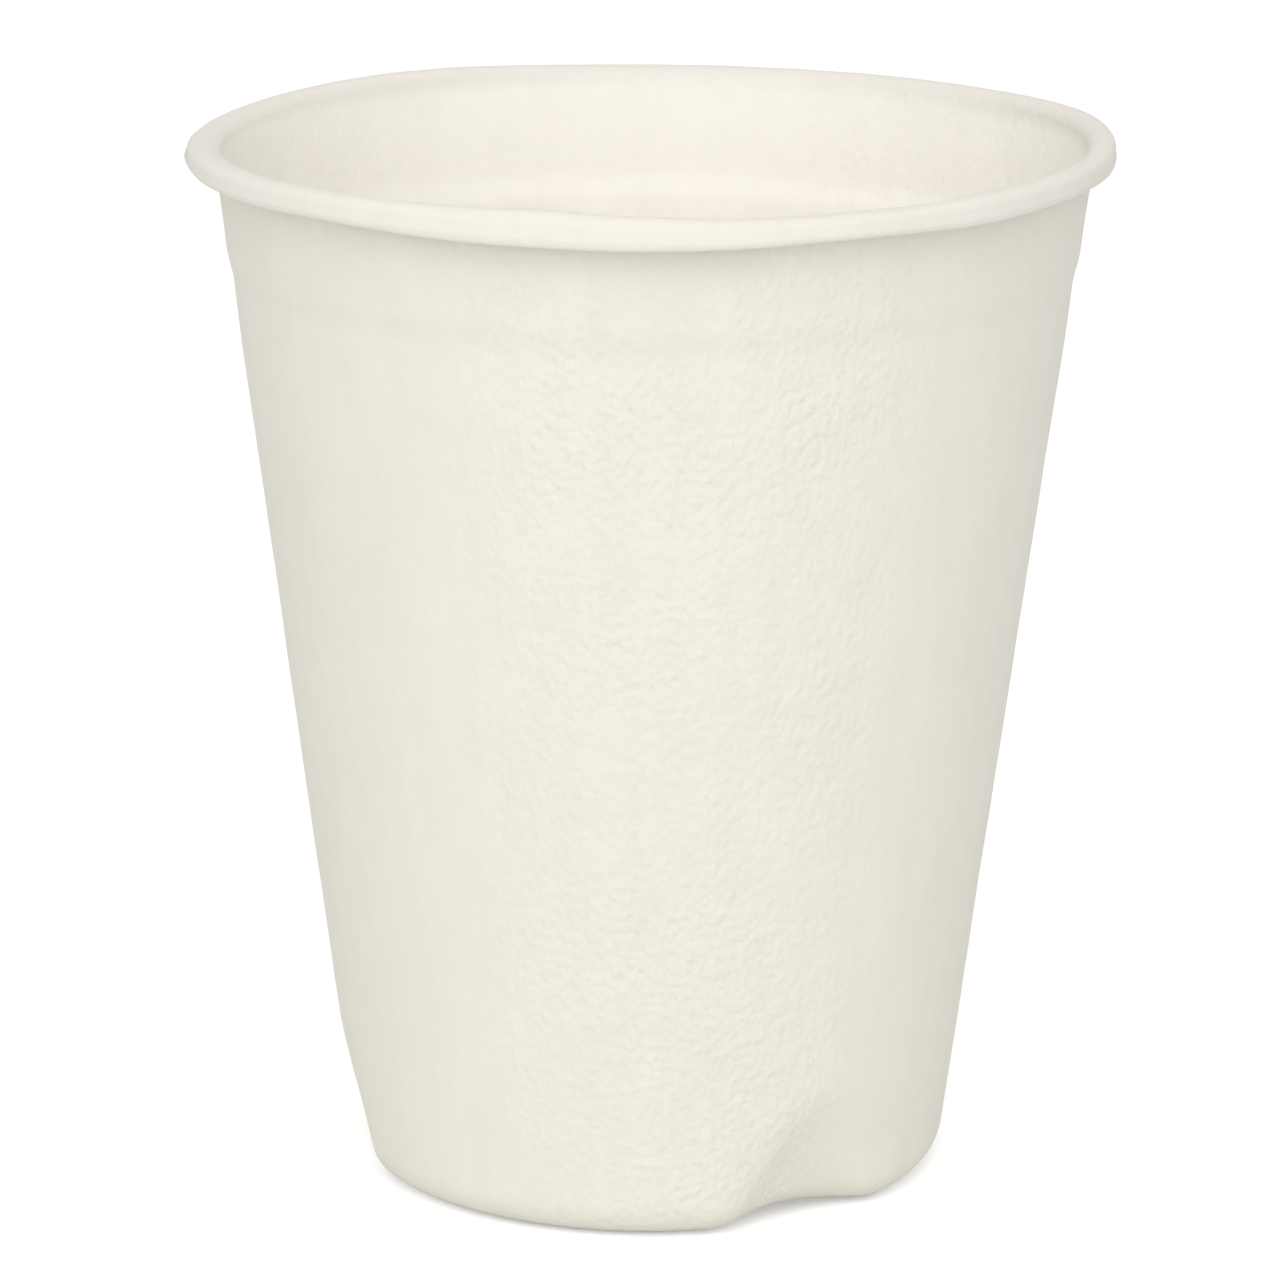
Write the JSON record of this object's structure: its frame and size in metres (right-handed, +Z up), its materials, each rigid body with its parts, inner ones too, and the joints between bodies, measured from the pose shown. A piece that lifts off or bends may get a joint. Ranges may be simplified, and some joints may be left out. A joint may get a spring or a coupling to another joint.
{
  "type": "bagasse cup",
  "caption": "Tapered moulded-fibre drinking cup with a rolled lip, a faint stacking shoulder and scooped notches in its rounded foot.",
  "frame": {"origin": "centre of the standing ring, on the surface that the cup stands on", "axes": "+Z up along the cup's axis to the mouth; -Y is the front, the side that the picture shows; one notch lies 33.5 degrees from the front towards +X"},
  "size_m": [0.08, 0.08, 0.0913],
  "materials": {
    "pulp": "matt cream pressed fibre, faintly mottled"
  },
  "bodies": {
    "root": {"cup": "pulp"}
  },
  "joints": []
}
